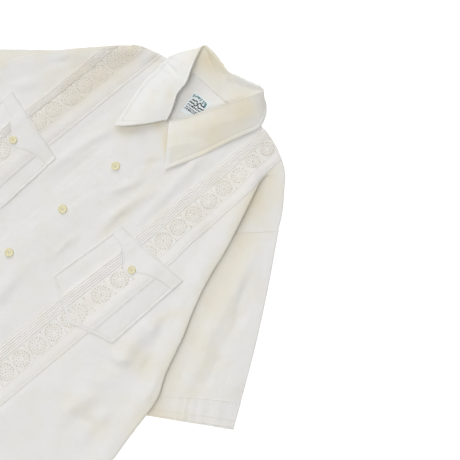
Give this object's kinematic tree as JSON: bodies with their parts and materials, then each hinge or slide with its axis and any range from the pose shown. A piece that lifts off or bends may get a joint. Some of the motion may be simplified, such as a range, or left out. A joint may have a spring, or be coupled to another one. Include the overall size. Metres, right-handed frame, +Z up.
{
  "type": "guayabera shirt",
  "caption": "Short-sleeved guayabera shirt laid flat on its back, with an open collar, patch pockets with pointed facings, and bands of pin tucks and eyelet embroidery.",
  "frame": {"origin": "On the back panel's flat underside, on the centre line of the body, 200 mm below the notch where the two collar leaves meet. The underside lies in the plane z = 0.", "axes": "+X towards the wearer's left (the viewer's right), +Y towards the collar, +Z up from the surface the shirt lies on, out of its front."},
  "size_m": [0.6867, 0.7803, 0.023],
  "materials": {
    "body_cloth": "plain-woven cream cotton and polyester",
    "collar_cloth": "plain-woven cream cotton, yellowed with age",
    "band_cloth": "pin-tucked and eyelet-embroidered cream cotton",
    "label_cloth": "woven satin label, plain stripes",
    "shell_button": "pale yellow pearl"
  },
  "bodies": {
    "root": {"back_panel": "body_cloth", "front_left": "body_cloth", "front_right": "body_cloth", "sleeve_left": "body_cloth", "sleeve_right": "body_cloth", "collar": "collar_cloth", "band_left": "band_cloth", "band_right": "band_cloth", "pocket_left": "body_cloth", "pocket_right": "body_cloth", "pocket_tab_left": "body_cloth", "pocket_tab_right": "body_cloth", "pocket_band_left": "band_cloth", "pocket_band_right": "band_cloth", "neck_label": "label_cloth", "pocket_button_left": "shell_button", "pocket_button_right": "shell_button", "front_button_1": "shell_button", "front_button_2": "shell_button", "front_button_3": "shell_button", "front_button_4": "shell_button", "front_button_5": "shell_button", "front_button_6": "shell_button"}
  },
  "joints": []
}
